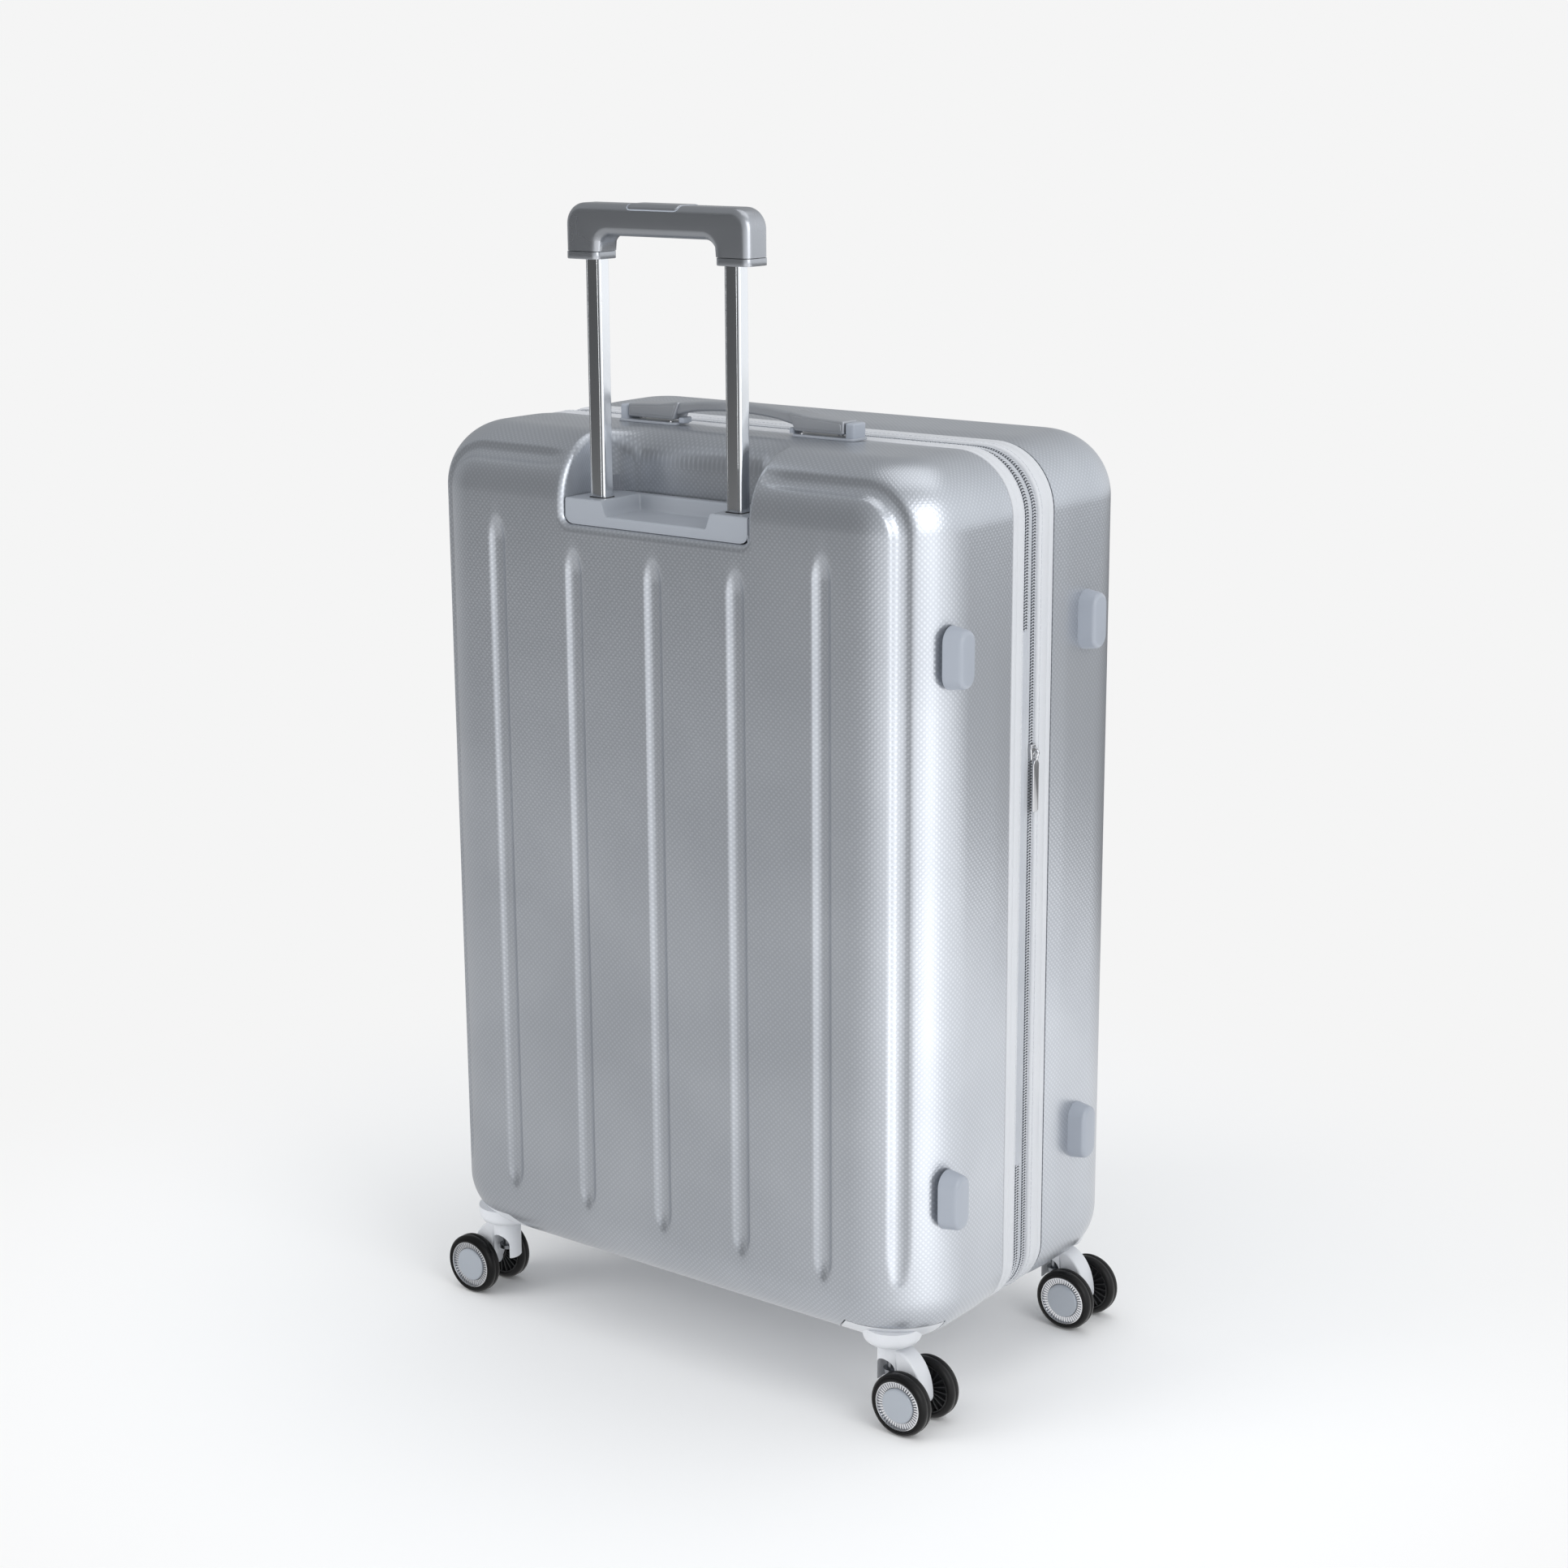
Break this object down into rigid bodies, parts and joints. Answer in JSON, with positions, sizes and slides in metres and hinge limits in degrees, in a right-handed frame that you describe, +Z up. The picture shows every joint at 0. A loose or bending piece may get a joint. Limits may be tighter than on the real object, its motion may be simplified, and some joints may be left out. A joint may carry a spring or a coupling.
{
  "type": "hard shell suitcase on wheels",
  "caption": "Upright hard shell travel case with ribbed faces, zipped expanding band, pull-up trolley handle, carry handles and swivelling twin-wheel castors.",
  "frame": {"origin": "on the floor, midway between the side feet and the side handle and midway between the two faces", "axes": "+X towards the hinge side with the feet, +Y from the trolley face towards the lid, +Z up"},
  "size_m": [0.524, 0.306, 0.9302],
  "materials": {
    "shell": "silver-grey satin shell sheet with a fine diagonal twill texture",
    "piping": "white extruded edge piping",
    "zip_tape": "pale woven zip tape",
    "gusset_cloth": "pale grey woven gusset",
    "lining_cloth": "mid grey lining cloth",
    "webbing": "dark flat webbing",
    "foot_plastic": "smooth pale blue-grey",
    "tube_alloy": "satin anodised tube",
    "sleeve_alloy": "mill finish tube",
    "bezel_plastic": "smooth light grey",
    "inner_plastic": "black moulding",
    "grip_plastic": "mid grey satin",
    "button_plastic": "grey satin",
    "handle_plastic": "grey satin",
    "bright_metal": "bright plated",
    "steel": "plain steel",
    "castor_plastic": "white moulding",
    "tyre_rubber": "black tread with fine ridges",
    "hub_plastic": "grey cap in a plated ring"
  },
  "bodies": {
    "back_case": {"back_shell": "shell", "back_piping": "piping", "back_lining": "lining_cloth", "packing_straps": "webbing", "back_feet": "foot_plastic", "trolley_sleeves": "sleeve_alloy", "trolley_bezel": "bezel_plastic", "trolley_base": "inner_plastic", "handle_plates": "handle_plastic", "handle_pins": "bright_metal", "main_zip_tape": "zip_tape", "hinge_tape": "zip_tape", "back_left_housing": "castor_plastic", "back_right_housing": "castor_plastic", "back_swivel_pins": "steel"},
    "trolley": {"trolley_tubes": "tube_alloy", "trolley_grip": "grip_plastic"},
    "release": {"grip_button": "button_plastic", "release_yoke": "inner_plastic"},
    "top_handle": {"top_handle_bar": "handle_plastic"},
    "side_handle": {"side_handle_bar": "handle_plastic"},
    "lid_frame": {"zip_band": "zip_tape", "expander_gusset": "gusset_cloth"},
    "front_case": {"front_shell": "shell", "front_piping": "piping", "front_lining": "lining_cloth", "front_feet": "foot_plastic", "expander_zip_tape": "zip_tape", "front_left_housing": "castor_plastic", "front_right_housing": "castor_plastic", "front_swivel_pins": "steel"},
    "main_slider": {"main_zip_slider": "bright_metal"},
    "main_pull": {"main_zip_pull": "bright_metal"},
    "expander_slider": {"expander_zip_slider": "bright_metal"},
    "expander_pull": {"expander_zip_pull": "bright_metal"},
    "back_left_swivel": {"back_left_fork": "castor_plastic", "back_left_axle": "steel"},
    "back_left_wheel_1": {"back_left_tyre_1": "tyre_rubber", "back_left_hub_1": "hub_plastic"},
    "back_left_wheel_2": {"back_left_tyre_2": "tyre_rubber", "back_left_hub_2": "hub_plastic"},
    "back_right_swivel": {"back_right_fork": "castor_plastic", "back_right_axle": "steel"},
    "back_right_wheel_1": {"back_right_tyre_1": "tyre_rubber", "back_right_hub_1": "hub_plastic"},
    "back_right_wheel_2": {"back_right_tyre_2": "tyre_rubber", "back_right_hub_2": "hub_plastic"},
    "front_left_swivel": {"front_left_fork": "castor_plastic", "front_left_axle": "steel"},
    "front_left_wheel_1": {"front_left_tyre_1": "tyre_rubber", "front_left_hub_1": "hub_plastic"},
    "front_left_wheel_2": {"front_left_tyre_2": "tyre_rubber", "front_left_hub_2": "hub_plastic"},
    "front_right_swivel": {"front_right_fork": "castor_plastic", "front_right_axle": "steel"},
    "front_right_wheel_1": {"front_right_tyre_1": "tyre_rubber", "front_right_hub_1": "hub_plastic"},
    "front_right_wheel_2": {"front_right_tyre_2": "tyre_rubber", "front_right_hub_2": "hub_plastic"}
  },
  "joints": [
    {"name": "trolley_slide", "type": "slide", "parent": "back_case", "child": "trolley", "axis": [0, 0, 1], "range_m": [-0.181, 0.115]},
    {"name": "grip_button_press", "type": "slide", "parent": "trolley", "child": "release", "axis": [0, 0, -1], "range_m": [0, 0.003], "stiffness_N_per_m": 800, "springref_m": -0.002},
    {"name": "top_handle_lift", "type": "slide", "parent": "back_case", "child": "top_handle", "axis": [0, 0, 1], "range_m": [0, 0.006]},
    {"name": "side_handle_lift", "type": "slide", "parent": "back_case", "child": "side_handle", "axis": [-1, 0, 0], "range_m": [0, 0.003]},
    {"name": "lid_hinge", "type": "hinge", "parent": "back_case", "child": "lid_frame", "pos_m": [0.2623, -0.009, 0.4085], "axis": [0, 0, -1], "range_deg": [0, 180]},
    {"name": "expander_slide", "type": "slide", "parent": "lid_frame", "child": "front_case", "axis": [0, 1, 0], "range_m": [0, 0.04]},
    {"name": "main_slider_run", "type": "slide", "parent": "back_case", "child": "main_slider", "axis": [0, 0, 1], "range_m": [-0.2, 0.2]},
    {"name": "main_pull_swing", "type": "hinge", "parent": "main_slider", "child": "main_pull", "pos_m": [-0.2495, -0.009, 0.4], "axis": [0, -1, 0], "range_deg": [-90, 0]},
    {"name": "expander_slider_run", "type": "slide", "parent": "lid_frame", "child": "expander_slider", "axis": [0, 0, 1], "range_m": [-0.12, 0.15]},
    {"name": "expander_pull_swing", "type": "hinge", "parent": "expander_slider", "child": "expander_pull", "pos_m": [0.2495, 0.001, 0.5195], "axis": [0, 1, 0], "range_deg": [-90, 0]},
    {"name": "back_left_swivel_turn", "type": "hinge", "parent": "back_case", "child": "back_left_swivel", "pos_m": [-0.203, -0.12, 0.05], "axis": [0, 0, 1], "continuous": true},
    {"name": "back_left_wheel_1_spin", "type": "hinge", "parent": "back_left_swivel", "child": "back_left_wheel_1", "pos_m": [-0.225, -0.139, 0.0255], "axis": [0, 1, 0], "continuous": true},
    {"name": "back_left_wheel_2_spin", "type": "hinge", "parent": "back_left_swivel", "child": "back_left_wheel_2", "pos_m": [-0.225, -0.101, 0.0255], "axis": [0, 1, 0], "continuous": true},
    {"name": "back_right_swivel_turn", "type": "hinge", "parent": "back_case", "child": "back_right_swivel", "pos_m": [0.203, -0.12, 0.05], "axis": [0, 0, 1], "continuous": true},
    {"name": "back_right_wheel_1_spin", "type": "hinge", "parent": "back_right_swivel", "child": "back_right_wheel_1", "pos_m": [0.225, -0.139, 0.0255], "axis": [0, 1, 0], "continuous": true},
    {"name": "back_right_wheel_2_spin", "type": "hinge", "parent": "back_right_swivel", "child": "back_right_wheel_2", "pos_m": [0.225, -0.101, 0.0255], "axis": [0, 1, 0], "continuous": true},
    {"name": "front_left_swivel_turn", "type": "hinge", "parent": "front_case", "child": "front_left_swivel", "pos_m": [-0.203, 0.12, 0.05], "axis": [0, 0, 1], "continuous": true},
    {"name": "front_left_wheel_1_spin", "type": "hinge", "parent": "front_left_swivel", "child": "front_left_wheel_1", "pos_m": [-0.225, 0.101, 0.0255], "axis": [0, 1, 0], "continuous": true},
    {"name": "front_left_wheel_2_spin", "type": "hinge", "parent": "front_left_swivel", "child": "front_left_wheel_2", "pos_m": [-0.225, 0.139, 0.0255], "axis": [0, 1, 0], "continuous": true},
    {"name": "front_right_swivel_turn", "type": "hinge", "parent": "front_case", "child": "front_right_swivel", "pos_m": [0.203, 0.12, 0.05], "axis": [0, 0, 1], "continuous": true},
    {"name": "front_right_wheel_1_spin", "type": "hinge", "parent": "front_right_swivel", "child": "front_right_wheel_1", "pos_m": [0.225, 0.101, 0.0255], "axis": [0, 1, 0], "continuous": true},
    {"name": "front_right_wheel_2_spin", "type": "hinge", "parent": "front_right_swivel", "child": "front_right_wheel_2", "pos_m": [0.225, 0.139, 0.0255], "axis": [0, 1, 0], "continuous": true}
  ]
}
